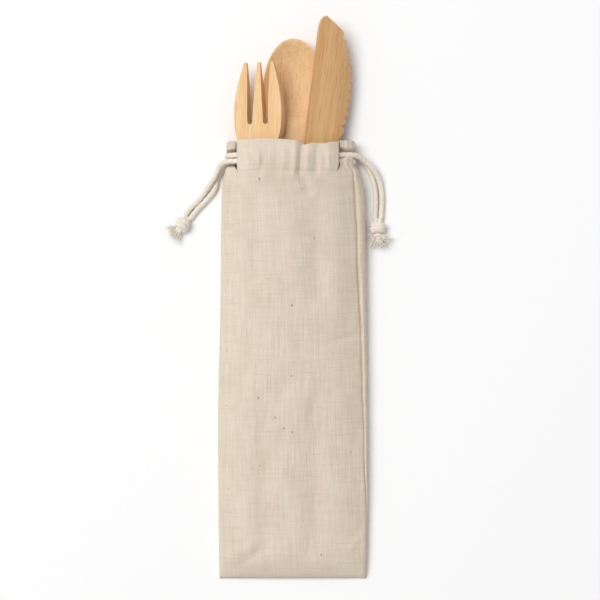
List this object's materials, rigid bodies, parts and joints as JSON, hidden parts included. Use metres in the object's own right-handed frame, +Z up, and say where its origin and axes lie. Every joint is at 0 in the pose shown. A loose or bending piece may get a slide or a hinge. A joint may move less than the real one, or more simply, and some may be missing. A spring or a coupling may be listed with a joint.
{
  "type": "bamboo cutlery pack in a drawstring pouch",
  "caption": "Bamboo fork, spoon and serrated knife standing part-way out of a natural cotton drawstring pouch with knotted, frayed strings.",
  "frame": {"origin": "centre of the pouch's flat underside, half-way between its closed end and its mouth", "axes": "+X across the pouch, towards the knife's teeth; +Y along the pouch, from its closed end to its mouth and the cutlery's tips; +Z up, away from the surface that the pouch lies on"},
  "size_m": [0.119, 0.2934, 0.024],
  "materials": {
    "bamboo": "sanded bamboo with fine lengthwise fibres, unvarnished",
    "cotton": "unbleached slubby plain-weave cotton, matte",
    "drawstring_cotton": "twisted natural cotton cord, matte"
  },
  "bodies": {
    "root": {"fork": "bamboo", "spoon": "bamboo", "knife": "bamboo", "pouch": "cotton", "left_drawstring": "drawstring_cotton", "right_drawstring": "drawstring_cotton", "left_front_strand": "drawstring_cotton", "left_back_strand": "drawstring_cotton", "right_front_strand": "drawstring_cotton", "right_back_strand": "drawstring_cotton", "left_knot": "drawstring_cotton", "right_knot": "drawstring_cotton"}
  },
  "joints": []
}
